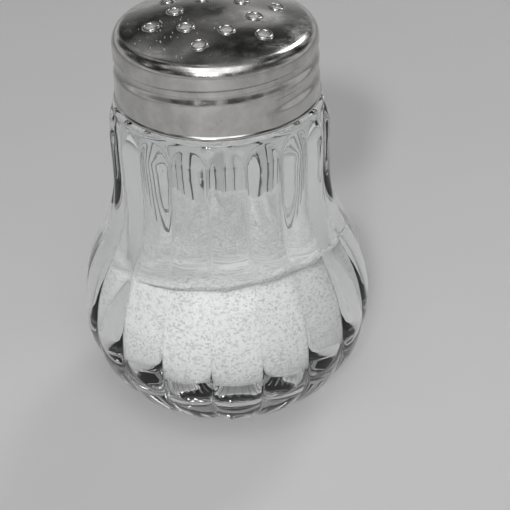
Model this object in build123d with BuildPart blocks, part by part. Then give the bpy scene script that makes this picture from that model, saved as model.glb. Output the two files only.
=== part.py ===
from build123d import *
import os
from math import asin, cos, degrees, radians, sin, sqrt

os.makedirs("parts", exist_ok=True)

# A table salt shaker: a fluted glass jar with a bulb and a neck, a thin pressed metal cap with a
# domed, pierced top that screws on, a seal ring under the cap, and the salt inside.
# Millimetres, +Z up. The origin is the middle of the base. One valley between flutes faces -Y.

# Flutes of the jar
flute_count = 18
flute_depth = 1.3

# Outside of the jar, over the crests of the flutes
bulb_radius = 31.7
bulb_height = 19.8
lower_bulb_bend = 22.7
upper_bulb_bend = 34.7
waist_bend = 35.0
neck_radius = 22.75
fingertip_start = 62.5
fingertip_bend = 13.0
flute_top = 69.0
band_radius = 21.25
band_top = 69.4
band_edge_round = 0.9

# Glass finish, the plain ring of glass that the cap screws on to
lip_round = 0.6
bore_radius = 17.3

# Inside of the jar
wall = 3.0
floor_thickness = 8.0
floor_bend = 13.0
bore_rise = 1.1
bore_taper = 7.5

# Shallow hollow under the base
base_hollow_radius = 14.5
base_hollow_depth = 0.7

# Screw thread, shared by the glass and the cap
thread_pitch = 4.2
groove_height_share = 0.51
groove_start_angle = -69.0
groove_end_angle = 405.0
thread_above_groove = 1.55
thread_start_angle = -165.0
thread_end_angle = 285.0
thread_side_gap = 0.2
thread_crest_half = 0.35
thread_root_half = 1.0
thread_fade_angle = 36.0
section_step = 6.0
smallest_fade = 0.12

# Pressed cap
sheet = 0.4
cap_edge_gap = 0.7
cap_wall_height = 12.1
cap_skirt_radius = 20.7
cap_rim_radius = 20.4
dome_rise = 5.0
dome_knuckle = 2.8
hem_height = 0.9
hem_bulge = 0.3
groove_depth = 0.55
groove_upper_flank = 1.1
groove_lower_flank = 2.4
groove_bottom_half = 0.3
groove_overcut = 0.12

# Sprinkling holes, two staggered rings
holes_per_ring = 6
inner_hole_ring = 7.95
outer_hole_ring = 12.8
inner_hole_angle = 53.2
outer_hole_angle = 23.2
hole_radius = 1.15
hole_lip_radius = 1.7
hole_lip_height = 0.25
hole_lip_foot = 0.2
hole_cut_depth = 3.0

# Seal ring between the glass lip and the cap
seal_thickness = 0.7
seal_gap = 0.12

# Salt
salt_level = 35.0
salt_tilt = 10.0
salt_tilt_direction = -60.0
salt_gap = 0.12

# Heights that stack up on the shoulder band
bore_start = band_top + bore_rise
neck_inside_top = bore_start - bore_taper
cap_edge_height = band_top + cap_edge_gap
cap_rim_height = cap_edge_height + cap_wall_height
groove_height_at_x = cap_edge_height + cap_wall_height * groove_height_share

# Outline of the jar, from the sizes above
lower_centre_r = bulb_radius - lower_bulb_bend
upper_centre_r = bulb_radius - upper_bulb_bend
waist_centre_r = neck_radius + waist_bend
centre_distance = upper_bulb_bend + waist_bend
waist_height = bulb_height + sqrt(centre_distance**2 - (waist_centre_r - upper_centre_r) ** 2)
bend_share = upper_bulb_bend / centre_distance
bend_height = bulb_height + (waist_height - bulb_height) * bend_share
fingertip_centre_r = neck_radius - fingertip_bend

# Dome of the cap: a knuckle that rolls over from the wall, then a flatter crown
knuckle_centre_r = cap_rim_radius - dome_knuckle
knuckle_drop = dome_rise - dome_knuckle
crown_bend = (knuckle_centre_r**2 + dome_rise**2 - dome_knuckle**2) / (2 * knuckle_drop)
crown_centre_height = cap_rim_height + dome_rise - crown_bend
crown_lean = degrees(asin(knuckle_centre_r / (crown_bend - dome_knuckle)))

# Glass finish and seal ring, fitted inside the cap
finish_radius = cap_rim_radius - sheet - groove_depth - thread_side_gap
thread_crest_radius = cap_rim_radius - sheet - thread_side_gap
seal_room = sqrt((dome_knuckle - sheet) ** 2 - (finish_radius - knuckle_centre_r) ** 2)
seal_base_height = cap_rim_height + seal_room - seal_gap - seal_thickness
lip_height = seal_base_height - seal_gap


def arc_reach(bend, rise):
    """Half chord of a circle of radius bend, at a distance rise from its centre."""
    return sqrt(bend**2 - rise**2)


def crest_radius(height):
    """Radius over the flutes' crests at a height on the jar."""
    if height < bulb_height:
        return lower_centre_r + arc_reach(lower_bulb_bend, bulb_height - height)
    if height < bend_height:
        return upper_centre_r + arc_reach(upper_bulb_bend, height - bulb_height)
    if height < waist_height:
        return waist_centre_r - arc_reach(waist_bend, waist_height - height)
    if height < fingertip_start:
        return neck_radius
    return fingertip_centre_r + arc_reach(fingertip_bend, height - fingertip_start)


def round_point(radius, angle, height):
    """A point at a radius, a polar angle in degrees and a height."""
    return (radius * cos(radians(angle)), radius * sin(radians(angle)), height)


def radial_plane(angle):
    """A plane through the axis, its x pointing out at a polar angle and its y pointing up."""
    out = Vector(cos(radians(angle)), sin(radians(angle)), 0)
    return Plane(origin=(0, 0, 0), x_dir=out, z_dir=out.cross(Vector(0, 0, 1)))


def helix_steps(start, end):
    """Angles along the thread with the share of full depth at each, faded at both ends."""
    count = round((end - start) / section_step)
    for step in range(count + 1):
        angle = start + (end - start) * step / count
        from_end = min(angle - start, end - angle)
        share = min(1.0, smallest_fade + from_end / thread_fade_angle)
        yield angle, share


def groove_height(angle):
    """Height of the cap's rolled groove at a polar angle, a right-hand thread."""
    return groove_height_at_x + thread_pitch * angle / 360


def wall_radius(height):
    """Outside radius of the cap's wall, slightly wider towards its lower edge."""
    share = (cap_rim_height - height) / (cap_rim_height - cap_edge_height)
    return cap_rim_radius + (cap_skirt_radius - cap_rim_radius) * share


def groove_section(angle, share, inset):
    """One section of the rolled groove, moved inwards by inset."""
    height = groove_height(angle)
    low = height - groove_lower_flank
    high = height + groove_upper_flank
    bottom = wall_radius(height) - inset - groove_depth * share
    with BuildSketch(radial_plane(angle)) as section:
        with BuildLine():
            Polyline(
                (bottom + groove_overcut, height + groove_bottom_half),
                (wall_radius(high) - inset + groove_overcut, high),
                (wall_radius(low) - inset + groove_overcut, low),
                (bottom + groove_overcut, height - groove_bottom_half),
            )
            ThreePointArc(
                (bottom + groove_overcut, height - groove_bottom_half),
                (bottom, height),
                (bottom + groove_overcut, height + groove_bottom_half),
            )
        make_face()
    return section.sketch


def groove_sections(inset):
    """All sections of the rolled groove, from its start to its end."""
    steps = helix_steps(groove_start_angle, groove_end_angle)
    return [groove_section(angle, share, inset) for angle, share in steps]


# Glass jar
flute_heights = [0, 1.5, 4, 8, 13, 19.8, 27, 33, 38.5, 44.5, 50.5, 56.5, 62.5, 65, 67, 68.2, flute_top]
flute_angle = 360 / flute_count

with BuildPart() as glass_jar:
    for level in flute_heights:
        crest = crest_radius(level)
        valley = crest - flute_depth
        with BuildSketch(Plane.XY.offset(level)):
            with BuildLine():
                for flute in range(flute_count):
                    first = -90 + flute * flute_angle
                    ThreePointArc(
                        round_point(valley, first, 0),
                        round_point(crest, first + flute_angle / 2, 0),
                        round_point(valley, first + flute_angle, 0),
                    )
            make_face()
    loft()

    # round neck band and finish, joined to the flutes
    with BuildSketch(Plane.XZ):
        with BuildLine():
            Polyline(
                (0, waist_height),
                (band_radius, waist_height),
                (band_radius, band_top - band_edge_round),
            )
            RadiusArc(
                (band_radius, band_top - band_edge_round),
                (band_radius - band_edge_round, band_top),
                -band_edge_round,
            )
            Polyline(
                (band_radius - band_edge_round, band_top),
                (finish_radius, band_top),
                (finish_radius, lip_height - lip_round),
            )
            RadiusArc(
                (finish_radius, lip_height - lip_round),
                (finish_radius - lip_round, lip_height),
                -lip_round,
            )
            Polyline(
                (finish_radius - lip_round, lip_height),
                (0, lip_height),
                (0, waist_height),
            )
        make_face()
    revolve(axis=Axis.Z)

    # thread ridge on the finish
    for angle, share in helix_steps(thread_start_angle, thread_end_angle):
        middle = groove_height(angle) + thread_above_groove
        root = finish_radius - 2 * groove_overcut
        crest = finish_radius + (thread_crest_radius - finish_radius) * share
        with BuildSketch(radial_plane(angle)):
            with BuildLine():
                Polyline(
                    (root, middle - thread_root_half),
                    (root, middle + thread_root_half),
                    (crest, middle + thread_crest_half),
                    (crest, middle - thread_crest_half),
                    close=True,
                )
            make_face()
    loft(ruled=True)

    # hollow inside
    inner_bulb = bulb_radius - wall
    inner_neck = neck_radius - wall
    floor_edge = inner_bulb - floor_bend
    floor_bend_height = floor_thickness + floor_bend
    upper_mid = (floor_bend_height + bend_height) / 2
    waist_mid = (bend_height + waist_height) / 2
    with BuildSketch(Plane.XZ):
        with BuildLine():
            Line((0, floor_thickness), (floor_edge, floor_thickness))
            RadiusArc((floor_edge, floor_thickness), (inner_bulb, floor_bend_height), -floor_bend)
            Spline(
                (inner_bulb, floor_bend_height),
                (crest_radius(upper_mid) - wall, upper_mid),
                (crest_radius(bend_height) - wall, bend_height),
                (crest_radius(waist_mid) - wall, waist_mid),
                (inner_neck, waist_height),
                tangents=((0, 1), (0, 1)),
            )
            Line((inner_neck, waist_height), (inner_neck, neck_inside_top))
            Spline(
                (inner_neck, neck_inside_top),
                (bore_radius, bore_start),
                tangents=((0, 1), (0, 1)),
            )
            Polyline(
                (bore_radius, bore_start),
                (bore_radius, lip_height - lip_round),
            )
            RadiusArc(
                (bore_radius, lip_height - lip_round),
                (bore_radius + lip_round, lip_height),
                lip_round,
            )
            Polyline(
                (bore_radius + lip_round, lip_height),
                (bore_radius + lip_round, lip_height + lip_round),
                (0, lip_height + lip_round),
                (0, floor_thickness),
            )
        make_face()
    revolve(axis=Axis.Z, mode=Mode.SUBTRACT)

    # shallow hollow under the base
    with BuildSketch(Plane.XZ):
        with BuildLine():
            ThreePointArc(
                (-base_hollow_radius, 0),
                (0, base_hollow_depth),
                (base_hollow_radius, 0),
            )
            Line((base_hollow_radius, 0), (-base_hollow_radius, 0))
        make_face()
        split(bisect_by=Plane.YZ)
    revolve(axis=Axis.Z, mode=Mode.SUBTRACT)
glass_jar.part.label = "glass_jar"
export_step(glass_jar.part, "parts/glass_jar.step")

# Space inside the cap, with the inward rib of the rolled groove left standing
with BuildPart() as cap_space:
    with BuildSketch(Plane.XZ):
        with BuildLine():
            CenterArc(
                (knuckle_centre_r, cap_rim_height),
                dome_knuckle - sheet,
                start_angle=0,
                arc_size=90 - crown_lean,
            )
            CenterArc(
                (0, crown_centre_height),
                crown_bend - sheet,
                start_angle=90 - crown_lean,
                arc_size=crown_lean,
            )
            Polyline(
                (0, cap_rim_height + dome_rise - sheet),
                (0, cap_edge_height - sheet),
                (wall_radius(cap_edge_height - sheet) - sheet, cap_edge_height - sheet),
                (cap_rim_radius - sheet, cap_rim_height),
            )
        make_face()
    revolve(axis=Axis.Z)
    loft(groove_sections(sheet), ruled=True, mode=Mode.SUBTRACT)

# One raised lip of a sprinkling hole, standing on the dome
with BuildPart() as hole_lip:
    with BuildSketch(Plane.XZ):
        with BuildLine():
            Polyline(
                (hole_radius, 0),
                (hole_radius, -hole_lip_foot),
                (hole_lip_radius, -hole_lip_foot),
                (hole_lip_radius, 0),
            )
            ThreePointArc(
                (hole_lip_radius, 0),
                ((hole_radius + hole_lip_radius) / 2, hole_lip_height),
                (hole_radius, 0),
            )
        make_face()
    revolve(axis=Axis.Z)


def dome_plane(ring, angle):
    """A plane on the dome at a ring radius and polar angle, its z along the surface's normal."""
    rise = arc_reach(crown_bend, ring)
    origin = round_point(ring, angle, crown_centre_height + rise)
    return Plane(origin=origin, z_dir=round_point(ring, angle, rise))


hole_planes = []
for number in range(holes_per_ring):
    turn = 360 * number / holes_per_ring
    hole_planes.append(dome_plane(inner_hole_ring, inner_hole_angle + turn))
    hole_planes.append(dome_plane(outer_hole_ring, outer_hole_angle + turn))

# Pressed metal cap
with BuildPart() as screw_cap:
    with BuildSketch(Plane.XZ):
        with BuildLine():
            CenterArc(
                (knuckle_centre_r, cap_rim_height),
                dome_knuckle,
                start_angle=0,
                arc_size=90 - crown_lean,
            )
            CenterArc(
                (0, crown_centre_height),
                crown_bend,
                start_angle=90 - crown_lean,
                arc_size=crown_lean,
            )
            Polyline(
                (0, cap_rim_height + dome_rise),
                (0, cap_edge_height),
                (wall_radius(cap_edge_height), cap_edge_height),
            )
            ThreePointArc(
                (wall_radius(cap_edge_height), cap_edge_height),
                (cap_skirt_radius + hem_bulge, cap_edge_height + hem_height / 2),
                (wall_radius(cap_edge_height + hem_height), cap_edge_height + hem_height),
            )
            Line(
                (wall_radius(cap_edge_height + hem_height), cap_edge_height + hem_height),
                (cap_rim_radius, cap_rim_height),
            )
        make_face()
    revolve(axis=Axis.Z)
    loft(groove_sections(0), ruled=True, mode=Mode.SUBTRACT)
    add(cap_space.part, mode=Mode.SUBTRACT)
    with Locations(*hole_planes):
        add(hole_lip.part)
    with Locations(*hole_planes):
        Cylinder(hole_radius, hole_cut_depth, mode=Mode.SUBTRACT)
screw_cap.part.label = "screw_cap"
export_step(screw_cap.part, "parts/screw_cap.step")

# Seal ring, flat on the glass lip
with BuildPart() as cap_seal_ring:
    with BuildSketch(Plane.XY.offset(seal_base_height)):
        Circle(finish_radius)
        Circle(bore_radius, mode=Mode.SUBTRACT)
    extrude(amount=seal_thickness)
cap_seal_ring.part.label = "cap_seal_ring"
export_step(cap_seal_ring.part, "parts/cap_seal_ring.step")

# Salt, filling the bulb up to a slightly leaning surface
with BuildPart() as salt_fill:
    with BuildSketch(Plane.XZ):
        with BuildLine():
            Line((0, floor_thickness + salt_gap), (floor_edge, floor_thickness + salt_gap))
            RadiusArc(
                (floor_edge, floor_thickness + salt_gap),
                (inner_bulb - salt_gap, floor_bend_height),
                -(floor_bend - salt_gap),
            )
            Spline(
                (inner_bulb - salt_gap, floor_bend_height),
                (crest_radius(upper_mid) - wall - salt_gap, upper_mid),
                (crest_radius(bend_height) - wall - salt_gap, bend_height),
                (crest_radius(waist_mid) - wall - salt_gap, waist_mid),
                (inner_neck - salt_gap, waist_height),
                tangents=((0, 1), (0, 1)),
            )
            Polyline(
                (inner_neck - salt_gap, waist_height),
                (0, waist_height),
                (0, floor_thickness + salt_gap),
            )
        make_face()
    revolve(axis=Axis.Z)
    slope = round_point(-sin(radians(salt_tilt)), salt_tilt_direction, cos(radians(salt_tilt)))
    split(bisect_by=Plane(origin=(0, 0, salt_level), z_dir=slope), keep=Keep.BOTTOM)
salt_fill.part.label = "salt_fill"
export_step(salt_fill.part, "parts/salt_fill.step")
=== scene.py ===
"""Salt shaker on a pale table: fluted glass jar, pressed screw cap, seal ring and salt.

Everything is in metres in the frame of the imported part, +Z up, with the middle of the base at the
origin. The visible pieces are turned on the jar's axis ring by ring, then pressed to shape.
"""
import logging
import math
import random
from dataclasses import dataclass, field
from enum import Enum

import bpy
import numpy as np
from mathutils import Matrix, Vector, noise


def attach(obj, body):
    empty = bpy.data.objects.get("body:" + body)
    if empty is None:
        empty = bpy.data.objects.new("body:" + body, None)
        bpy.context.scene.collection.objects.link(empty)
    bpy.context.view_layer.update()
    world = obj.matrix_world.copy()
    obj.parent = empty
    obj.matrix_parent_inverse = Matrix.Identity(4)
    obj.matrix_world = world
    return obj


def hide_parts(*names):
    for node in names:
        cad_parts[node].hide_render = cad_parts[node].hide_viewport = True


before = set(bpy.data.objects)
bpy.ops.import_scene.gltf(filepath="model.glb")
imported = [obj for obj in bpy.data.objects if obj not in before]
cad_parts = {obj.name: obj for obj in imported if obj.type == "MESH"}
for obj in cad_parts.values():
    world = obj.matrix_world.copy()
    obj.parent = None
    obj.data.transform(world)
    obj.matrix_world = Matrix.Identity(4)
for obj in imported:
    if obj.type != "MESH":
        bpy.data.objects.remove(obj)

log = logging.getLogger("salt_shaker")
MM = 0.001
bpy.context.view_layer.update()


class Body(Enum):
    """The bodies of the part that a piece can ride on."""

    JAR = "jar"
    SEAL = "seal"
    CAP = "cap"


class Skin(Enum):
    """How a ring of the jar's profile is shaped after turning."""

    PLAIN = 0
    FLUTED = 1
    THREADED = 2


# Colours and nodes


def srgb(hex_value: str) -> tuple[float, float, float, float]:
    """Turns an sRGB hex colour into linear RGBA.

    Args:
        hex_value: Six hex digits, such as "c8c8c6".

    Returns:
        Linear red, green, blue and an alpha of 1.
    """
    channels = [int(hex_value[i : i + 2], 16) / 255 for i in (0, 2, 4)]
    linear = [c / 12.92 if c <= 0.04045 else ((c + 0.055) / 1.055) ** 2.4 for c in channels]
    return (*linear, 1.0)


def add_node(
    tree: bpy.types.NodeTree, kind: str, settings: dict | None = None, **sockets
) -> bpy.types.Node:
    """Adds a shader node with its settings, values and links.

    Args:
        tree: The node tree that gets the node.
        kind: The node's type name, such as "ShaderNodeTexNoise".
        settings: Attributes of the node itself.
        **sockets: Input values or output sockets by input name, with _ for a space; i0, i1 and so
            on name an input by its number.

    Returns:
        The new node.
    """
    node = tree.nodes.new(kind)
    for name, value in (settings or {}).items():
        setattr(node, name, value)
    for name, value in sockets.items():
        numbered = name[0] == "i" and name[1:].isdigit()
        socket = node.inputs[int(name[1:]) if numbered else name.replace("_", " ")]
        if isinstance(value, bpy.types.NodeSocket):
            tree.links.new(value, socket)
        else:
            socket.default_value = value
    return node


def ramp(
    tree: bpy.types.NodeTree, source: bpy.types.NodeSocket, stops: list[tuple[float, str]]
) -> bpy.types.NodeSocket:
    """Maps a value through colour stops.

    Args:
        tree: The node tree.
        source: The value to map.
        stops: Pairs of position and sRGB hex colour.

    Returns:
        The ramp's colour output.
    """
    node = add_node(tree, "ShaderNodeValToRGB", Fac=source)
    elements = node.color_ramp.elements
    while len(elements) < len(stops):
        elements.new(0.5)
    for element, (position, colour) in zip(elements, stops):
        element.position = position
        element.color = srgb(colour)
    return node.outputs["Color"]


def new_material(name: str) -> tuple[bpy.types.Material, bpy.types.NodeTree, bpy.types.Node]:
    """Starts a material with a Principled shader.

    Args:
        name: The material's name.

    Returns:
        The material, its node tree and its shader.
    """
    material = bpy.data.materials.new(name)
    material.use_nodes = True
    tree = material.node_tree
    return material, tree, tree.nodes["Principled BSDF"]


def grain_scale(size_mm: float) -> float:
    """Texture scale on Object coordinates for a feature of this size in millimetres."""
    return 1 / (size_mm * MM)


def add_relief(
    tree: bpy.types.NodeTree,
    shader: bpy.types.Node,
    source: bpy.types.NodeSocket,
    strength: float,
    height_mm: float,
) -> None:
    """Lets a texture stand out as fine relief.

    Args:
        tree: The node tree.
        shader: The shader whose skin it shapes.
        source: The texture's value.
        strength: Share of the relief that shows.
        height_mm: Height of the relief in millimetres.
    """
    bump = add_node(
        tree, "ShaderNodeBump", Strength=strength, Distance=height_mm * MM, Height=source
    )
    tree.links.new(bump.outputs["Normal"], shader.inputs["Normal"])


# Finishes


@dataclass(frozen=True)
class PressedSodaLimeGlass:
    """Clear pressed soda-lime glass, fire polished."""

    colour: str = "fbfcfc"
    ior: float = 1.5
    ripple_mm: float = 6.0
    ripple_strength: float = 0.1
    ripple_height_mm: float = 0.05
    shadow_share: float = 0.88

    def build(self) -> bpy.types.Material:
        """Makes the material: smooth glass whose skin has the slow ripple of a pressed piece."""
        material, tree, shader = new_material("clear_soda_lime_glass")
        shader.inputs["Base Color"].default_value = srgb(self.colour)
        shader.inputs["Transmission Weight"].default_value = 1.0
        shader.inputs["Roughness"].default_value = 0.0
        shader.inputs["IOR"].default_value = self.ior
        place = add_node(tree, "ShaderNodeTexCoord").outputs["Object"]
        ripple = add_node(
            tree, "ShaderNodeTexNoise", Vector=place, Scale=grain_scale(self.ripple_mm), Detail=1.0
        )
        add_relief(
            tree, shader, ripple.outputs["Fac"], self.ripple_strength, self.ripple_height_mm
        )
        # Stands in for the light that refraction carries through, so the shadow stays pale
        lamp = add_node(tree, "ShaderNodeLightPath").outputs["Is Shadow Ray"]
        share = add_node(
            tree, "ShaderNodeMath", {"operation": "MULTIPLY"}, i0=lamp, i1=self.shadow_share
        )
        clear = add_node(tree, "ShaderNodeBsdfTransparent")
        mix = add_node(
            tree,
            "ShaderNodeMixShader",
            i0=share.outputs[0],
            i1=shader.outputs[0],
            i2=clear.outputs[0],
        )
        tree.links.new(mix.outputs[0], tree.nodes["Material Output"].inputs["Surface"])
        return material


@dataclass(frozen=True)
class BrightPlatedSteel:
    """Thin pressed steel sheet with a bright nickel plating that years of handling have dulled."""

    colour: str = "c9c8c6"
    smudge_colour: str = "b2b1af"
    roughness: float = 0.13
    smudge_roughness: float = 0.34
    smudge_mm: float = 5.0
    pit_mm: float = 0.5
    pit_height_mm: float = 0.02
    pit_strength: float = 0.35

    def build(self) -> bpy.types.Material:
        """Makes the material: a soft mirror with cloudy smudges and fine pits."""
        material, tree, shader = new_material("bright_plated_steel")
        shader.inputs["Metallic"].default_value = 1.0
        place = add_node(tree, "ShaderNodeTexCoord").outputs["Object"]
        cloud = add_node(
            tree,
            "ShaderNodeTexNoise",
            Vector=place,
            Scale=grain_scale(self.smudge_mm),
            Detail=5.0,
            Roughness=0.62,
        ).outputs["Fac"]
        tint = ramp(tree, cloud, [(0.4, self.colour), (0.68, self.smudge_colour)])
        tree.links.new(tint, shader.inputs["Base Color"])
        gloss = add_node(
            tree,
            "ShaderNodeMapRange",
            Value=cloud,
            From_Min=0.42,
            From_Max=0.72,
            To_Min=self.roughness,
            To_Max=self.smudge_roughness,
        )
        tree.links.new(gloss.outputs["Result"], shader.inputs["Roughness"])
        pits = add_node(
            tree, "ShaderNodeTexNoise", Vector=place, Scale=grain_scale(self.pit_mm), Detail=3.0
        )
        add_relief(tree, shader, pits.outputs["Fac"], self.pit_strength, self.pit_height_mm)
        return material


@dataclass(frozen=True)
class TableSalt:
    """Loose cubic grains of table salt: white, sugary, each grain with its own brightness."""

    bright: str = "d0d0d0"
    mid: str = "bfbfbe"
    shade: str = "a4a4a3"
    roughness: float = 0.45
    grain_mm: float = 0.36
    grain_relief: float = 0.45
    glow_mm: float = 3.5
    glow_share: float = 0.9
    clump_mm: float = 5.0
    clump_share: float = 0.35

    def build(self) -> bpy.types.Material:
        """Makes the material: cells the size of grains, with tone and height from cell to cell."""
        material, tree, shader = new_material("table_salt_grains")
        shader.inputs["Roughness"].default_value = self.roughness
        shader.inputs["Subsurface Weight"].default_value = self.glow_share
        shader.inputs["Subsurface Radius"].default_value = (1.0, 1.0, 1.0)
        shader.inputs["Subsurface Scale"].default_value = self.glow_mm * MM
        place = add_node(tree, "ShaderNodeTexCoord").outputs["Object"]
        grain = add_node(
            tree, "ShaderNodeTexVoronoi", Vector=place, Scale=grain_scale(self.grain_mm)
        )
        tone = add_node(tree, "ShaderNodeSeparateColor", Color=grain.outputs["Color"])
        clump = add_node(
            tree, "ShaderNodeTexNoise", Vector=place, Scale=grain_scale(self.clump_mm), Detail=2.0
        )
        blend = add_node(
            tree,
            "ShaderNodeMath",
            {"operation": "MULTIPLY_ADD"},
            i0=clump.outputs["Fac"],
            i1=self.clump_share,
            i2=tone.outputs["Red"],
        )
        colour = ramp(
            tree, blend.outputs[0], [(0.12, self.shade), (0.4, self.mid), (0.75, self.bright)]
        )
        tree.links.new(colour, shader.inputs["Base Color"])
        add_relief(tree, shader, grain.outputs["Distance"], self.grain_relief, self.grain_mm / 2)
        return material


@dataclass(frozen=True)
class SoftLinerPlastic:
    """Soft white polyethylene liner, cut from sheet, slightly waxy."""

    colour: str = "e2e2df"
    scuff: str = "cfcfcb"
    roughness: float = 0.5
    scuff_mm: float = 2.0
    scuff_height_mm: float = 0.02
    scuff_strength: float = 0.2

    def build(self) -> bpy.types.Material:
        """Makes the material: waxy white with faint scuffs."""
        material, tree, shader = new_material("soft_liner_plastic")
        shader.inputs["Roughness"].default_value = self.roughness
        place = add_node(tree, "ShaderNodeTexCoord").outputs["Object"]
        cloud = add_node(
            tree, "ShaderNodeTexNoise", Vector=place, Scale=grain_scale(self.scuff_mm), Detail=3.0
        ).outputs["Fac"]
        colour = ramp(tree, cloud, [(0.4, self.colour), (0.7, self.scuff)])
        tree.links.new(colour, shader.inputs["Base Color"])
        add_relief(tree, shader, cloud, self.scuff_strength, self.scuff_height_mm)
        return material


@dataclass(frozen=True)
class MattLaminate:
    """Pale matt laminate of the table."""

    colour: str = "d0d0d0"
    mottle: str = "cccccc"
    mottle_scale: float = 9.0
    roughness: float = 0.55
    specular: float = 0.3

    def build(self) -> bpy.types.Material:
        """Makes the material: an even pale grey with very faint mottling."""
        material, tree, shader = new_material("pale_matt_laminate")
        shader.inputs["Roughness"].default_value = self.roughness
        shader.inputs["Specular IOR Level"].default_value = self.specular
        place = add_node(tree, "ShaderNodeTexCoord").outputs["Object"]
        cloud = add_node(
            tree, "ShaderNodeTexNoise", Vector=place, Scale=self.mottle_scale, Detail=2.0
        )
        colour = ramp(tree, cloud.outputs["Fac"], [(0.3, self.colour), (0.75, self.mottle)])
        tree.links.new(colour, shader.inputs["Base Color"])
        return material


# Modelling by hand


def deselect_all() -> None:
    """Leaves object mode with nothing selected."""
    if bpy.context.mode != "OBJECT":
        bpy.ops.object.mode_set(mode="OBJECT")
    bpy.ops.object.select_all(action="DESELECT")


def pick(obj: bpy.types.Object) -> None:
    """Makes one object the only selected one and the active one."""
    deselect_all()
    obj.select_set(True)
    bpy.context.view_layer.objects.active = obj


def turn_rings(name: str, profile: list[tuple[float, float]], steps: int) -> bpy.types.Object:
    """Turns a profile on the Z axis: a circle extruded ring by ring.

    Args:
        name: Name of the new object.
        profile: Radius and height of each ring in millimetres, in order along the skin.
        steps: Points round each ring.

    Returns:
        An open tube of len(profile) rings, with the vertices in ring order.
    """
    deselect_all()
    radius, height = profile[0]
    bpy.ops.mesh.primitive_circle_add(
        vertices=steps, radius=radius * MM, location=(0, 0, height * MM), fill_type="NOTHING"
    )
    obj = bpy.context.active_object
    obj.name = obj.data.name = name
    bpy.ops.object.transform_apply(location=True, rotation=True, scale=True)
    bpy.ops.object.mode_set(mode="EDIT")
    bpy.ops.mesh.select_all(action="SELECT")
    for next_radius, next_height in profile[1:]:
        bpy.ops.mesh.extrude_region_move(
            TRANSFORM_OT_translate={"value": (0, 0, (next_height - height) * MM)}
        )
        share = next_radius / radius
        bpy.ops.transform.resize(value=(share, share, 1), center_override=(0, 0, 0))
        radius, height = next_radius, next_height
    bpy.ops.object.mode_set(mode="OBJECT")
    return obj


def ring_coordinates(obj: bpy.types.Object, steps: int) -> np.ndarray:
    """The vertices of a turned tube as an array of rings, points and x, y, z in millimetres."""
    flat = np.zeros(len(obj.data.vertices) * 3)
    obj.data.vertices.foreach_get("co", flat)
    return flat.reshape(-1, steps, 3) / MM


def set_polar(points: np.ndarray, radius: np.ndarray, turn: np.ndarray) -> None:
    """Puts points at these distances from the axis and angles in radians round it."""
    points[..., 0] = radius * np.cos(turn)
    points[..., 1] = radius * np.sin(turn)


def press(obj: bpy.types.Object, rings: np.ndarray) -> None:
    """Puts shaped ring coordinates, in millimetres, back on the mesh."""
    obj.data.vertices.foreach_set("co", (rings * MM).ravel())
    obj.data.update()


def close_ends(obj: bpy.types.Object, steps: int, first: bool = True) -> None:
    """Merges the last ring of a turned tube, and mostly the first one too, to a point.

    Args:
        obj: The tube.
        steps: Points round each ring.
        first: Whether the first ring is closed.
    """
    starts = [len(obj.data.vertices) - steps] + ([0] if first else [])
    for start in starts:
        pick(obj)
        bpy.ops.object.mode_set(mode="EDIT")
        bpy.ops.mesh.select_mode(type="VERT")
        bpy.ops.mesh.select_all(action="DESELECT")
        bpy.ops.object.mode_set(mode="OBJECT")
        for index in range(start, start + steps):
            obj.data.vertices[index].select = True
        bpy.ops.object.mode_set(mode="EDIT")
        bpy.ops.mesh.merge(type="CENTER")
        bpy.ops.object.mode_set(mode="OBJECT")


def face_outwards(obj: bpy.types.Object) -> None:
    """Turns every face of a closed mesh outwards."""
    pick(obj)
    bpy.ops.object.mode_set(mode="EDIT")
    bpy.ops.mesh.select_all(action="SELECT")
    bpy.ops.mesh.normals_make_consistent(inside=False)
    bpy.ops.object.mode_set(mode="OBJECT")


def smooth(obj: bpy.types.Object, angle: float = 35.0) -> None:
    """Shades an object smooth, with edges sharper than the angle in degrees kept."""
    pick(obj)
    bpy.ops.object.shade_smooth_by_angle(angle=math.radians(angle))


def apply_modifier(obj: bpy.types.Object, kind: str, **settings) -> None:
    """Adds a modifier with its settings and applies it.

    Args:
        obj: The object.
        kind: The modifier's type, such as "SOLIDIFY".
        **settings: Its attributes.
    """
    pick(obj)
    modifier = obj.modifiers.new(kind.title(), kind)
    for name, value in settings.items():
        setattr(modifier, name, value)
    bpy.ops.object.modifier_apply(modifier=modifier.name)


def join(objects: list[bpy.types.Object], name: str) -> bpy.types.Object:
    """Joins objects into the first one and names it."""
    deselect_all()
    for obj in objects:
        obj.select_set(True)
    bpy.context.view_layer.objects.active = objects[0]
    bpy.ops.object.join()
    joined = bpy.context.active_object
    joined.name = joined.data.name = name
    return joined


def dress(obj: bpy.types.Object, material: bpy.types.Material) -> None:
    """Gives an object its one material."""
    obj.data.materials.clear()
    obj.data.materials.append(material)


def put_in_place(obj: bpy.types.Object, body: Body, node: str) -> None:
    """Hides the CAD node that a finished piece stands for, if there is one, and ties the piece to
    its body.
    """
    if node:
        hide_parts(node)
    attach(obj, body.value)
    log.info("%s: %d faces, rides on %s", obj.name, len(obj.data.polygons), body.value)


def spaced(start: float, stop: float, step: float) -> list[float]:
    """Evenly spaced values from start up to, and not including, stop, about step apart."""
    count = max(1, round(abs(stop - start) / step))
    return [start + (stop - start) * i / count for i in range(count)]


def smooth_step(share: np.ndarray | float) -> np.ndarray | float:
    """Eases a share between 0 and 1, so that it starts and ends level."""
    return share * share * (3 - 2 * share)


def quarter_turn(parts: int) -> list[tuple[float, float]]:
    """Sine and cosine at even steps from 0 to 90 degrees, ends included."""
    angles = [math.pi / 2 * i / parts for i in range(parts + 1)]
    return [(math.sin(angle), math.cos(angle)) for angle in angles]


# Sizes


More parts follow.
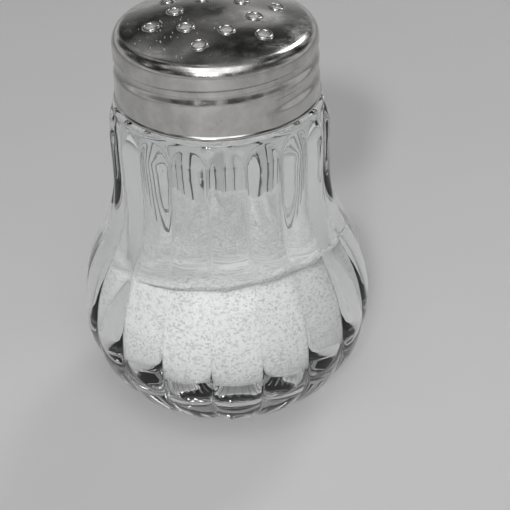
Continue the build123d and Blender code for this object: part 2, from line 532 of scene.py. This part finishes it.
@dataclass
class ScrewThread:
    """The right-hand thread that the glass and the cap share, in millimetres and degrees."""

    pitch: float = 4.2
    height_at_x: float = 76.27
    groove_start: float = -69.0
    groove_end: float = 405.0
    ridge_above_groove: float = 1.55
    ridge_start: float = -165.0
    ridge_end: float = 285.0
    ridge_crest_half: float = 0.35
    ridge_root_half: float = 1.0
    groove_depth: float = 0.64
    upper_flank: float = 1.1
    lower_flank: float = 2.4
    lower_roundness: float = 1.6
    bottom_half: float = 0.3
    fade: float = 36.0

    def turns(
        self, angle: np.ndarray, start: float, end: float
    ) -> list[tuple[np.ndarray, np.ndarray]]:
        """The passes of a helix over each polar angle.

        Args:
            angle: Polar angles in degrees.
            start: Where the helix starts.
            end: Where it ends.

        Returns:
            For each pass, its height at each angle and its share of full depth.
        """
        passes = []
        for whole in range(-2, 3):
            along = angle + 360 * whole
            from_end = np.minimum(along - start, end - along)
            share = smooth_step(np.clip(from_end / self.fade, 0, 1))
            passes.append((self.height_at_x + self.pitch * along / 360, share))
        return passes

    def groove(self, angle: np.ndarray, height: np.ndarray) -> np.ndarray:
        """Depth of the cap's rolled groove at polar angles and heights."""
        depth = np.zeros(np.broadcast(angle, height).shape)
        for middle, share in self.turns(angle, self.groove_start, self.groove_end):
            up = height - middle
            above = (self.upper_flank - up) / (self.upper_flank - self.bottom_half)
            below = (self.lower_flank + up) / (self.lower_flank - self.bottom_half)
            rounded = np.sin(np.clip(below, 0, 1) * math.pi / 2) ** self.lower_roundness
            soft = np.minimum(smooth_step(np.clip(above, 0, 1)), rounded)
            depth = np.maximum(depth, self.groove_depth * share * soft)
        return depth

    def ridge(self, angle: np.ndarray, height: np.ndarray) -> np.ndarray:
        """Share of the full height of the glass ridge at polar angles and heights."""
        share_there = np.zeros(np.broadcast(angle, height).shape)
        for groove, share in self.turns(angle, self.ridge_start, self.ridge_end):
            off = np.abs(height - groove - self.ridge_above_groove)
            slope = (self.ridge_root_half - off) / (self.ridge_root_half - self.ridge_crest_half)
            share_there = np.maximum(share_there, share * smooth_step(np.clip(slope, 0, 1)))
        return share_there


@dataclass
class JarOutline:
    """Outline of the jar over the crests of its flutes, in millimetres."""

    bulb_radius: float = 31.7
    bulb_height: float = 19.8
    lower_bend: float = 22.7
    upper_bend: float = 34.7
    waist_bend: float = 35.0
    neck_radius: float = 22.75
    fingertip_start: float = 62.5
    fingertip_bend: float = 13.0
    wall: float = 3.0
    floor: float = 8.0
    floor_bend: float = 13.0
    neck_inside_top: float = 63.0
    bore_start: float = 70.5
    bore_radius: float = 17.3

    @property
    def waist_height(self) -> float:
        """Height at which the waist's bend ends and the straight neck starts."""
        across = self.neck_radius + self.waist_bend - (self.bulb_radius - self.upper_bend)
        return self.bulb_height + math.sqrt((self.upper_bend + self.waist_bend) ** 2 - across**2)

    @property
    def bend_height(self) -> float:
        """Height at which the bulb's bend turns into the waist's."""
        share = self.upper_bend / (self.upper_bend + self.waist_bend)
        return self.bulb_height + (self.waist_height - self.bulb_height) * share

    def crest(self, height: float) -> float:
        """Radius over the crests at a height."""
        if height < self.bulb_height:
            drop = self.bulb_height - height
            return self.bulb_radius - self.lower_bend + math.sqrt(self.lower_bend**2 - drop**2)
        if height < self.bend_height:
            rise = height - self.bulb_height
            return self.bulb_radius - self.upper_bend + math.sqrt(self.upper_bend**2 - rise**2)
        if height < self.waist_height:
            drop = self.waist_height - height
            return self.neck_radius + self.waist_bend - math.sqrt(self.waist_bend**2 - drop**2)
        if height < self.fingertip_start:
            return self.neck_radius
        rise = height - self.fingertip_start
        return self.neck_radius - self.fingertip_bend + math.sqrt(self.fingertip_bend**2 - rise**2)

    def inside(self, height: float) -> float:
        """Radius of the hollow at a height above the floor's bend."""
        if height <= self.floor + self.floor_bend:
            return self.bulb_radius - self.wall
        if height < self.neck_inside_top:
            return self.crest(height) - self.wall
        neck = self.neck_radius - self.wall
        share = min(1.0, (height - self.neck_inside_top) / (self.bore_start - self.neck_inside_top))
        return neck + (self.bore_radius - neck) * smooth_step(share)

    def floor_corner(self, gap: float, parts: int) -> list[tuple[float, float]]:
        """Rings of the hollow's rounded corner, from the floor up to its side.

        Args:
            gap: Distance kept from the glass.
            parts: Number of rings less one.

        Returns:
            Radius and height of each ring.
        """
        centre = self.bulb_radius - self.wall - self.floor_bend
        top = self.floor + self.floor_bend
        bend = self.floor_bend - gap
        return [(centre + bend * sine, top - bend * cosine) for sine, cosine in quarter_turn(parts)]


# Glass jar


@dataclass
class GlassJar:
    """The fluted jar with its shoulder band, plain finish, thread ridge and smooth inside."""

    outline: JarOutline = field(default_factory=JarOutline)
    thread: ScrewThread = field(default_factory=ScrewThread)
    flutes: int = 18
    flute_depth: float = 1.3
    bulb_fullness: float = 0.62
    neck_fullness: float = 1.0
    neck_softness: float = 0.2
    steps: int = 252
    band_radius: float = 21.25
    band_top: float = 69.4
    band_round: float = 0.9
    arch_round: float = 0.1
    crease: float = 42.0
    finish_radius: float = 19.25
    finish_foot: float = 0.5
    thread_crest: float = 19.8
    lip_height: float = 83.0
    lip_round: float = 0.6
    hollow_radius: float = 14.5
    hollow_depth: float = 0.7

    def profile(self) -> list[tuple[float, float, Skin]]:
        """Rings of the glass from under the base, up the outside, over the lip and down inside.

        Returns:
            Radius, height and kind of skin of each ring, in millimetres.
        """
        shape = self.outline
        rings: list[tuple[float, float, Skin]] = []
        for radius in (0.6, 2.5, 5, 7.5, 10, 12, 13.6, self.hollow_radius):
            drop = self.hollow_depth * (1 - (radius / self.hollow_radius) ** 2)
            rings.append((radius, drop, Skin.PLAIN))
        rings.append((16.0, 0.0, Skin.PLAIN))
        for inset, height in ((1.6, 0.0), (1.0, 0.0), (0.5, 0.07), (0.2, 0.25), (0.05, 0.6)):
            rings.append((shape.crest(height) - inset, height, Skin.FLUTED))
        heights = spaced(1.0, 6.0, 0.4) + spaced(6.0, 61.0, 0.8) + spaced(61.0, 68.5, 0.18)
        for height in heights:
            rings.append((shape.crest(height), height, Skin.FLUTED))
        for sine, cosine in quarter_turn(6):
            radius = self.band_radius - self.band_round * (1 - cosine)
            rings.append((radius, self.band_top - self.band_round * (1 - sine), Skin.PLAIN))
        foot = self.finish_foot
        rings.append((self.finish_radius + foot, self.band_top, Skin.PLAIN))
        rings.append((self.finish_radius + foot * 0.28, self.band_top + foot * 0.28, Skin.PLAIN))
        top = self.lip_height - self.lip_round
        for height in spaced(self.band_top + foot, top, 0.21):
            rings.append((self.finish_radius, height, Skin.THREADED))
        for sine, cosine in quarter_turn(5):
            radius = self.finish_radius - self.lip_round * (1 - cosine)
            rings.append((radius, self.lip_height - self.lip_round * (1 - sine), Skin.PLAIN))
        for sine, cosine in quarter_turn(5):
            radius = shape.bore_radius + self.lip_round * (1 - sine)
            rings.append((radius, self.lip_height - self.lip_round * (1 - cosine), Skin.PLAIN))
        heights = spaced(top - 1.5, shape.bore_start, 2.0)
        heights += spaced(shape.bore_start, shape.neck_inside_top, 0.5)
        heights += spaced(shape.neck_inside_top, shape.floor + shape.floor_bend, 1.0)
        for height in heights:
            rings.append((shape.inside(height), height, Skin.PLAIN))
        for radius, height in reversed(shape.floor_corner(0.0, 20)):
            rings.append((radius, height, Skin.PLAIN))
        for radius in (13, 10, 7, 4, 2, 0.6):
            rings.append((radius, shape.floor, Skin.PLAIN))
        return rings

    def crowd_valleys(self, angle: np.ndarray) -> np.ndarray:
        """Moves the points round a ring towards the valleys, where the flutes turn sharply."""
        pitch = 360 / self.flutes
        lobe = np.floor((angle + 90) / pitch + 1e-6)
        across = np.clip(((angle + 90) / pitch - lobe) * 2 - 1, -1, 1)
        return (lobe + (np.sin(across * math.pi / 2) + 1) / 2) * pitch - 90

    def flute_radius(self, angle: np.ndarray, crest: float, height: float) -> np.ndarray:
        """Radius of the fluted skin: round lobes between valleys that soften up the neck.

        Args:
            angle: Polar angles in degrees.
            crest: Radius over the crests.
            height: Height on the jar, since the lobes change towards the neck.

        Returns:
            The radius at each angle.
        """
        pitch = 360 / self.flutes
        off = np.abs((angle + 90) % pitch - pitch / 2)
        valley = crest - self.flute_depth
        share = 1 - (off / (pitch / 2)) ** 2
        rise = min(1.0, max(0.0, (height - self.outline.bulb_height) / self.outline.bulb_radius))
        fullness = self.bulb_fullness + (self.neck_fullness - self.bulb_fullness) * rise
        soft = self.neck_softness * rise
        lobe = np.clip(share, 0, 1) ** fullness
        eased = (np.sqrt(lobe**2 + soft**2) - soft) / (math.sqrt(1 + soft**2) - soft)
        return valley + self.flute_depth * eased

    def build(self) -> bpy.types.Object:
        """Turns, flutes and threads the glass, and closes it.

        Returns:
            The jar.
        """
        profile = self.profile()
        obj = turn_rings("visual_glass_jar", [(r, z) for r, z, _ in profile], self.steps)
        rings = ring_coordinates(obj, self.steps)
        angle = self.crowd_valleys(np.degrees(np.arctan2(rings[..., 1], rings[..., 0])))
        set_polar(rings, np.hypot(rings[..., 0], rings[..., 1]), np.radians(angle))
        for number, (radius, height, skin) in enumerate(profile):
            if skin is Skin.PLAIN:
                continue
            if skin is Skin.FLUTED:
                crest = self.outline.crest(height)
                fluted = self.flute_radius(angle[number], crest, height) - (crest - radius)
                if height > self.outline.fingertip_start:
                    # The flutes run out under the band in round arches
                    apart = fluted - self.band_radius
                    fluted = self.band_radius + (apart + np.hypot(apart, self.arch_round)) / 2
                wanted = fluted
            else:
                ridge = self.thread.ridge(angle[number], np.full(self.steps, height))
                wanted = radius + (self.thread_crest - radius) * ridge
            set_polar(rings[number], wanted, np.radians(angle[number]))
        press(obj, rings)
        close_ends(obj, self.steps)
        face_outwards(obj)
        smooth(obj, self.crease)
        return obj


# Pressed cap


@dataclass
class PressedCap:
    """The thin domed screw cap with its hem, rolled groove and pierced, lipped holes."""

    thread: ScrewThread = field(default_factory=ScrewThread)
    sheet: float = 0.4
    edge_height: float = 70.1
    skirt_radius: float = 20.7
    rim_radius: float = 20.4
    rim_height: float = 82.2
    dome_rise: float = 5.0
    knuckle: float = 2.8
    hem_height: float = 0.9
    hem_bulge: float = 0.3
    steps: int = 240
    holes_per_ring: int = 6
    rings_of_holes: tuple[tuple[float, float], ...] = ((7.95, 53.2), (12.8, 23.2))
    hole_radius: float = 1.15
    lip_radius: float = 1.78
    punch_gap: float = 0.02
    punch_depth: float = 3.0
    crease: float = 40.0

    @property
    def crown_bend(self) -> float:
        """Radius of the crown's curve, tangent to the knuckle."""
        across = self.rim_radius - self.knuckle
        rise = self.dome_rise
        return (across**2 + rise**2 - self.knuckle**2) / (2 * (rise - self.knuckle))

    @property
    def crown_centre(self) -> float:
        """Height of the middle of the crown's curve."""
        return self.rim_height + self.dome_rise - self.crown_bend

    def dome_height(self, radius: float) -> float:
        """Height of the crown at a distance from the axis."""
        return self.crown_centre + math.sqrt(self.crown_bend**2 - radius**2)

    def wall_radius(self, height: float) -> float:
        """Radius of the tapered wall at a height."""
        share = (self.rim_height - height) / (self.rim_height - self.edge_height)
        return self.rim_radius + (self.skirt_radius - self.rim_radius) * share

    def profile(self) -> list[tuple[float, float]]:
        """Rings of the cap's outside, from its lower edge to the middle of the dome."""
        rings = []
        for i in range(9):
            height = self.edge_height + self.hem_height * i / 8
            bulge = self.hem_bulge * math.sin(math.pi * i / 8)
            rings.append((self.wall_radius(height) + bulge, height))
        for height in spaced(self.edge_height + self.hem_height + 0.2, self.rim_height, 0.2):
            rings.append((self.wall_radius(height), height))
        centre = self.rim_radius - self.knuckle
        lean = math.asin(centre / (self.crown_bend - self.knuckle))
        for i in range(11):
            turn = (math.pi / 2 - lean) * i / 10
            across = centre + self.knuckle * math.cos(turn)
            rings.append((across, self.rim_height + self.knuckle * math.sin(turn)))
        edge = rings[-1][0]
        for radius in spaced(edge - 0.45, 0.5, 0.45):
            rings.append((radius, self.dome_height(radius)))
        return rings

    def hole_frames(self) -> list[Matrix]:
        """Places on the dome for each hole, Z along the dome's normal, in metres."""
        frames = []
        for ring, first in self.rings_of_holes:
            rise = math.sqrt(self.crown_bend**2 - ring**2)
            for number in range(self.holes_per_ring):
                turn = math.radians(first + 360 * number / self.holes_per_ring)
                out = Vector((ring * math.cos(turn), ring * math.sin(turn), rise))
                spot = Vector((out.x, out.y, self.dome_height(ring))) * MM
                lean = Vector((0, 0, 1)).rotation_difference(out.normalized())
                frames.append(Matrix.Translation(spot) @ lean.to_matrix().to_4x4())
        return frames

    def build(self) -> bpy.types.Object:
        """Turns the sheet, rolls the groove into it, thickens it, and pierces the holes.

        Returns:
            The cap.
        """
        profile = self.profile()
        obj = turn_rings("visual_screw_cap", profile, self.steps)
        rings = ring_coordinates(obj, self.steps)
        turn = np.arctan2(rings[..., 1], rings[..., 0])
        depth = self.thread.groove(np.degrees(turn), rings[..., 2])
        radius = np.hypot(rings[..., 0], rings[..., 1]) - depth
        set_polar(rings, radius, turn)
        press(obj, rings)
        close_ends(obj, self.steps, first=False)
        face_outwards(obj)
        apply_modifier(
            obj, "SOLIDIFY", thickness=self.sheet * MM, offset=-1.0, use_even_offset=True
        )
        face_outwards(obj)
        self.pierce(obj)
        smooth(obj, self.crease)
        return obj

    def pierce(self, obj: bpy.types.Object) -> None:
        """Raises a rounded lip round each hole, then cuts the holes.

        Args:
            obj: The thickened cap.
        """
        lips = []
        punches = []
        middle = (self.hole_radius + self.lip_radius) / 2
        for frame_there in self.hole_frames():
            deselect_all()
            bpy.ops.mesh.primitive_torus_add(
                major_radius=middle * MM,
                minor_radius=(self.lip_radius - self.hole_radius) / 2 * MM,
                major_segments=40,
                minor_segments=12,
            )
            lip = bpy.context.active_object
            lip.data.transform(frame_there)
            lips.append(lip)
            deselect_all()
            bpy.ops.mesh.primitive_cylinder_add(
                vertices=40,
                radius=(self.hole_radius + self.punch_gap) * MM,
                depth=self.punch_depth * MM,
            )
            punch = bpy.context.active_object
            punch.data.transform(frame_there)
            punches.append(punch)
        lip_set = join(lips, "cap_lips")
        punch_set = join(punches, "cap_punches")
        for tool, operation in ((lip_set, "UNION"), (punch_set, "DIFFERENCE")):
            apply_modifier(obj, "BOOLEAN", object=tool, operation=operation, solver="MANIFOLD")
            bpy.data.objects.remove(tool)


# Seal ring and salt


@dataclass
class SealRing:
    """The liner between the glass lip and the cap: a flat ring with softened edges."""

    inner: float = 17.3
    outer: float = 19.25
    base: float = 83.12
    thickness: float = 0.7
    round: float = 0.12
    steps: int = 180

    def build(self) -> bpy.types.Object:
        """Turns the ring's closed section and bevels its edges."""
        top = self.base + self.thickness
        profile = [
            (self.inner, self.base),
            (self.outer, self.base),
            (self.outer, top),
            (self.inner, top),
            (self.inner, self.base),
        ]
        obj = turn_rings("visual_seal_ring", profile, self.steps)
        pick(obj)
        bpy.ops.object.mode_set(mode="EDIT")
        bpy.ops.mesh.select_all(action="SELECT")
        bpy.ops.mesh.remove_doubles(threshold=0.00001)
        bpy.ops.object.mode_set(mode="OBJECT")
        face_outwards(obj)
        apply_modifier(obj, "BEVEL", width=self.round * MM, segments=3, limit_method="ANGLE")
        smooth(obj)
        return obj


@dataclass
class SaltFill:
    """The salt: it fills the bulb up to an uneven, slightly leaning surface."""

    outline: JarOutline = field(default_factory=JarOutline)
    gap: float = 0.12
    level: float = 35.0
    tilt: float = 10.0
    tilt_direction: float = -60.0
    unevenness: float = 0.9
    hill_size: float = 7.0
    lump_size: float = 0.9
    crease: float = 60.0
    steps: int = 180

    def surface(self, x: float, y: float) -> float:
        """Height of the salt's surface at a place, in millimetres."""
        turn = math.radians(self.tilt_direction)
        slope = math.tan(math.radians(self.tilt))
        lean = (x * math.cos(turn) + y * math.sin(turn)) * slope
        hill, lump = self.hill_size, self.lump_size
        hills = noise.noise(Vector((x / hill, y / hill, 3.1))) * self.unevenness
        lumps = noise.noise(Vector((x / lump, y / lump, 9.7))) * self.unevenness / 3
        return self.level + lean + hills + lumps - self.unevenness / 2

    def build(self) -> bpy.types.Object:
        """Turns the body of the salt and shapes its surface.

        Returns:
            The salt.
        """
        shape = self.outline
        rings = [(radius, shape.floor + self.gap) for radius in (0.6, 4, 8, 12)]
        rings += shape.floor_corner(self.gap, 16)
        side = spaced(shape.floor + shape.floor_bend + 0.8, self.level - 7.0, 0.8)
        rings += [(shape.inside(height) - self.gap, height) for height in side]
        fixed = len(rings)
        edge = shape.inside(self.level) - self.gap
        rings.append((edge, self.level))
        rings += [(radius, self.level) for radius in spaced(edge - 0.35, 0.4, 0.45)]
        obj = turn_rings("visual_salt", rings, self.steps)
        places = ring_coordinates(obj, self.steps)
        for ring in places[fixed:]:
            for point in ring:
                point[2] = self.surface(point[0], point[1])
        # The side follows the glass up to wherever the surface meets it
        for point in places[fixed]:
            turn = math.atan2(point[1], point[0])
            reach = shape.inside(point[2]) - self.gap
            point[0], point[1] = reach * math.cos(turn), reach * math.sin(turn)
        press(obj, places)
        close_ends(obj, self.steps)
        face_outwards(obj)
        smooth(obj, self.crease)
        return obj


@dataclass
class StraySalt:
    """Grains left lying on the dome of the cap."""

    cap: PressedCap = field(default_factory=PressedCap)
    count: int = 30
    smallest: float = 0.1
    largest: float = 0.24
    middle: tuple[float, float] = (-8.5, -6.5)
    spread: tuple[float, float] = (5.0, 5.5)
    reach: float = 17.5
    hole_margin: float = 2.1
    worn_edge: float = 0.14
    seed: int = 7

    def build(self) -> bpy.types.Object:
        """Scatters copies of one worn cube over the near left part of the dome.

        Returns:
            All the grains as one object.
        """
        deselect_all()
        bpy.ops.mesh.primitive_cube_add(size=MM)
        first = bpy.context.active_object
        apply_modifier(first, "BEVEL", width=self.worn_edge * MM, segments=1, limit_method="NONE")
        chance = random.Random(self.seed)
        holes = [frame_there.translation / MM for frame_there in self.cap.hole_frames()]
        grains = []
        while len(grains) < self.count:
            across = chance.gauss(self.middle[0], self.spread[0])
            away = chance.gauss(self.middle[1], self.spread[1])
            distance = math.hypot(across, away)
            near_hole = any(
                math.hypot(across - hole.x, away - hole.y) < self.hole_margin for hole in holes
            )
            if distance > self.reach or near_hole:
                continue
            size = chance.uniform(self.smallest, self.largest)
            height = self.cap.dome_height(distance) + size * 0.42
            spin = Matrix.Rotation(chance.uniform(0, math.pi), 4, "Z")
            lean = Matrix.Rotation(chance.uniform(-0.3, 0.3), 4, "X")
            grain = first.copy()
            grain.data = first.data.copy()
            bpy.context.scene.collection.objects.link(grain)
            spot = Matrix.Translation(Vector((across, away, height)) * MM)
            grain.data.transform(spot @ spin @ lean @ Matrix.Scale(size, 4))
            grains.append(grain)
        bpy.data.objects.remove(first)
        obj = join(grains, "stray_salt_grains")
        face_outwards(obj)
        return obj


@dataclass
class CakedSalt:
    """Fine salt caked in the sprinkling holes, a rough plug a little below each lip."""

    cap: PressedCap = field(default_factory=PressedCap)
    depth: float = 0.22
    thickness: float = 0.25
    lump_size: float = 1 / 2.3
    lump_height: float = 0.16
    crease: float = 40.0
    steps: int = 24

    def build(self) -> bpy.types.Object:
        """Makes one rough plug for each hole.

        Returns:
            All the plugs as one object.
        """
        plugs = []
        for number, place in enumerate(self.cap.hole_frames()):
            radius = self.cap.hole_radius + 0.01
            top = -self.depth
            rings = [(0.05, top - self.thickness), (radius, top - self.thickness)]
            rings += [(radius * share, top) for share in (1.0, 0.8, 0.6, 0.4, 0.2, 0.05)]
            plug = turn_rings("salt_plug", rings, self.steps)
            places = ring_coordinates(plug, self.steps)
            for ring in places[2:]:
                for point in ring:
                    x, y = point[0] / self.lump_size, point[1] / self.lump_size
                    point[2] += self.lump_height * noise.noise(Vector((x, y, number * 5.0)))
            press(plug, places)
            close_ends(plug, self.steps)
            face_outwards(plug)
            plug.data.transform(place)
            plugs.append(plug)
        obj = join(plugs, "caked_salt_in_holes")
        smooth(obj, self.crease)
        return obj


# Staging


@dataclass
class PhotoView:
    """The camera of the photograph, in the part's frame."""

    focal_px: float = 1224.0
    image_px: float = 510.0
    down: float = 34.79
    roll: float = 1.67
    around: float = 5.74
    distance: float = 261.4
    aim_px: tuple[float, float] = (222.7, 196.3)
    aim_height: float = 45.0

    def build(self) -> None:
        """Adds the camera and makes it the scene's."""
        down, roll = math.radians(self.down), math.radians(self.roll)
        forward = Vector((0, math.cos(down), -math.sin(down)))
        up = Vector((0, math.sin(down), math.cos(down)))
        right = Vector((1, 0, 0))
        middle = self.image_px / 2
        across = (self.aim_px[0] - middle) / self.focal_px * self.distance
        above = -(self.aim_px[1] - middle) / self.focal_px * self.distance
        shift_right = across * math.cos(roll) + above * math.sin(roll)
        shift_up = -across * math.sin(roll) + above * math.cos(roll)
        place = Vector((0, 0, self.aim_height)) - self.distance * forward
        place -= shift_right * right + shift_up * up
        side = right * math.cos(roll) - up * math.sin(roll)
        top = right * math.sin(roll) + up * math.cos(roll)
        facing = Matrix((side, top, -forward)).transposed().to_4x4()
        turn = Matrix.Rotation(math.radians(self.around), 4, "Z")
        data = bpy.data.cameras.new("photo_view")
        data.sensor_width = 36.0
        data.lens = self.focal_px / self.image_px * 36.0
        data.clip_start = 0.01
        data.dof.use_dof = False
        camera = bpy.data.objects.new("photo_view", data)
        camera.matrix_world = turn @ Matrix.Translation(place * MM) @ facing
        bpy.context.scene.collection.objects.link(camera)
        bpy.context.scene.camera = camera


@dataclass
class Studio:
    """Pale table, soft lamps and a room of dim and pale patches."""

    floor_size: float = 6.0
    aim_height: float = 0.04
    dark: str = "1a1a1a"
    dim: str = "4c4c4c"
    pale: str = "d0d0d0"
    horizon: str = "c4c4c4"

    def floor(self) -> None:
        """Adds the table top."""
        deselect_all()
        bpy.ops.mesh.primitive_plane_add(size=self.floor_size)
        table = bpy.context.active_object
        table.name = "table_top"
        dress(table, MattLaminate().build())

    def lamp(
        self,
        name: str,
        azimuth: float,
        elevation: float,
        distance: float,
        size: float,
        power: float,
    ) -> None:
        """Adds a square soft lamp that points at the shaker.

        Args:
            name: The lamp's name.
            azimuth: Direction it stands in, in degrees from +X.
            elevation: Its angle above the table in degrees.
            distance: Its distance in metres.
            size: Its side in metres.
            power: Its power in watts.
        """
        data = bpy.data.lights.new(name, "AREA")
        data.size = size
        data.energy = power
        lamp = bpy.data.objects.new(name, data)
        turn, rise = math.radians(azimuth), math.radians(elevation)
        away = Vector(
            (math.cos(turn) * math.cos(rise), math.sin(turn) * math.cos(rise), math.sin(rise))
        )
        lamp.matrix_world = (
            Matrix.Translation(away * distance + Vector((0, 0, self.aim_height)))
            @ away.to_track_quat("Z", "Y").to_matrix().to_4x4()
        )
        bpy.context.scene.collection.objects.link(lamp)

    def room(self) -> None:
        """Adds the room that the plating mirrors: soft patches above a pale horizon."""
        world = bpy.data.worlds.new("room")
        bpy.context.scene.world = world
        world.use_nodes = True
        tree = world.node_tree
        place = add_node(tree, "ShaderNodeTexCoord").outputs["Generated"]
        shapes = add_node(
            tree, "ShaderNodeTexNoise", Vector=place, Scale=3.6, Detail=3.0, Roughness=0.55
        )
        patches = ramp(
            tree, shapes.outputs["Fac"], [(0.4, self.dark), (0.51, self.dim), (0.64, self.pale)]
        )
        height = add_node(tree, "ShaderNodeSeparateXYZ", Vector=place).outputs["Z"]
        low = add_node(
            tree,
            "ShaderNodeMapRange",
            Value=height,
            From_Min=0.3,
            From_Max=0.12,
            To_Min=0.0,
            To_Max=1.0,
        )
        walls = add_node(
            tree,
            "ShaderNodeMix",
            {"data_type": "RGBA"},
            i0=low.outputs["Result"],
            i6=patches,
            i7=srgb(self.horizon),
        )
        background = tree.nodes["Background"]
        tree.links.new(walls.outputs[2], background.inputs["Color"])
        background.inputs["Strength"].default_value = 1.0

    def build(self) -> None:
        """Sets the stage."""
        self.floor()
        self.room()
        self.lamp("key_softbox", -96, 36, 1.0, 0.08, 4.3)
        self.lamp("top_softbox", -84, 66, 1.15, 0.9, 4.3)
        self.lamp("back_window", 62, 42, 1.4, 0.35, 3.0)
        bpy.context.scene.view_settings.view_transform = "Standard"


# Whole shaker


def main() -> None:
    """Builds the pieces in order, dresses them and sets the stage."""
    logging.basicConfig(level=logging.INFO, format="%(name)s: %(message)s")
    glass = PressedSodaLimeGlass().build()
    steel = BrightPlatedSteel().build()
    grains = TableSalt().build()
    liner = SoftLinerPlastic().build()
    pieces = (
        (GlassJar(), glass, Body.JAR, "glass_jar", "clear_glass"),
        (SaltFill(), grains, Body.JAR, "salt_fill", "table_salt"),
        (SealRing(), liner, Body.SEAL, "cap_seal_ring", "seal_plastic"),
        (PressedCap(), steel, Body.CAP, "screw_cap", "plated_cap"),
        (StraySalt(), grains, Body.CAP, "", "table_salt"),
        (CakedSalt(), grains, Body.CAP, "", "table_salt"),
    )
    for piece, material, body, node, slot in pieces:
        obj = piece.build()
        dress(obj, material)
        put_in_place(obj, body, node)
    PhotoView().build()
    Studio().build()


if __name__ == "__main__":
    main()
